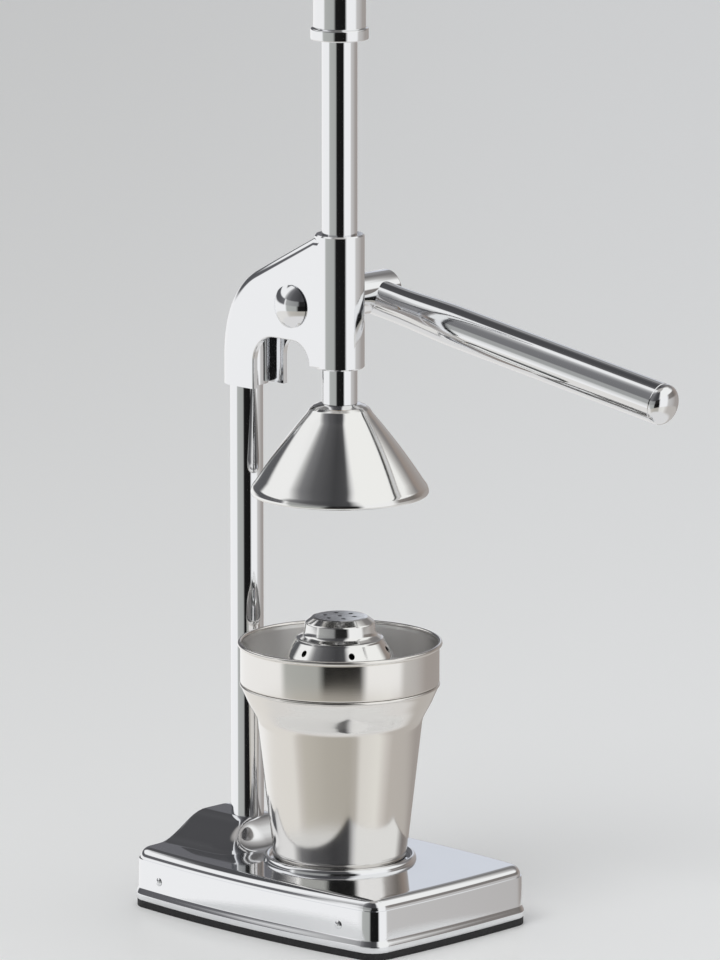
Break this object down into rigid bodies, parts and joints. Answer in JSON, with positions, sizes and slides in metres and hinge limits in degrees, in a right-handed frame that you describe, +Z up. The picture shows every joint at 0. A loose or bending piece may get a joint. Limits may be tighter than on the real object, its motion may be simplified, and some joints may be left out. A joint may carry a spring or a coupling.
{
  "type": "citrus press juicer",
  "caption": "Hand citrus press: a lever and a rack and pinion bring a steel cone down on a reamer in a strainer bowl, over a juice cup on a heavy polished base.",
  "frame": {"origin": "on the press axis, in the plane of the table that the rubber pad stands on", "axes": "+Z up along the press axis, -Y the user's side where the fruit goes in, +X the side of the lever"},
  "size_m": [0.1599, 0.2936, 0.5612],
  "materials": {
    "chrome": "mirror-polished chrome plate over castings and tube",
    "polished_steel": "polished stainless steel sheet, spun",
    "satin_steel": "softly polished stainless steel sheet, slightly warm, spun",
    "steel": "bright machined or zinc-plated steel",
    "dark_steel": "blackened steel socket screws",
    "bronze": "plain turned bronze bearings",
    "rubber": "matte black rubber sheet"
  },
  "bodies": {
    "stand": {"base_casting": "chrome", "rubber_pad": "rubber", "bottom_plate": "steel", "plate_screws": "steel", "side_rivets": "chrome", "column_tube": "chrome", "column_plug": "steel", "column_bolt": "steel", "column_washer": "steel", "head_casting": "chrome", "column_set_screws": "dark_steel", "guide_bush_upper": "bronze", "guide_bush_lower": "bronze", "axle_bush_near": "bronze", "axle_bush_far": "bronze"},
    "press": {"rack_shaft": "chrome", "top_knob": "chrome", "knob_set_screw": "dark_steel", "press_cone": "polished_steel", "cone_washer": "steel", "cone_nut": "steel"},
    "lever": {"pinion_axle": "steel", "pinion_gear": "steel", "pinion_pin": "steel", "axle_cap": "chrome", "spring_washer": "steel", "thrust_washer": "bronze", "lever_hub": "chrome", "hub_set_screw": "dark_steel", "lever_handle": "chrome", "handle_end_plug": "chrome"},
    "cup": {"juice_cup": "satin_steel"},
    "bowl": {"strainer_bowl": "satin_steel", "reamer": "polished_steel"}
  },
  "joints": [
    {"name": "lever_turn", "type": "hinge", "parent": "stand", "child": "lever", "pos_m": [0, 0.0252, 0.3546], "axis": [1, 0, 0], "range_deg": [-67, 373]},
    {"name": "press_slide", "type": "slide", "parent": "stand", "child": "press", "axis": [0, 0, 1], "range_m": [-0.111, 0.02]},
    {"name": "cup_turn", "type": "hinge", "parent": "stand", "child": "cup", "pos_m": [0, 0, 0.0343], "axis": [0, 0, 1], "continuous": true},
    {"name": "bowl_turn", "type": "hinge", "parent": "cup", "child": "bowl", "pos_m": [0, 0, 0.138], "axis": [0, 0, 1], "continuous": true}
  ],
  "couplings": [
    {"joint": "press_slide", "follows": "lever_turn", "m_per_rad": -0.017}
  ]
}
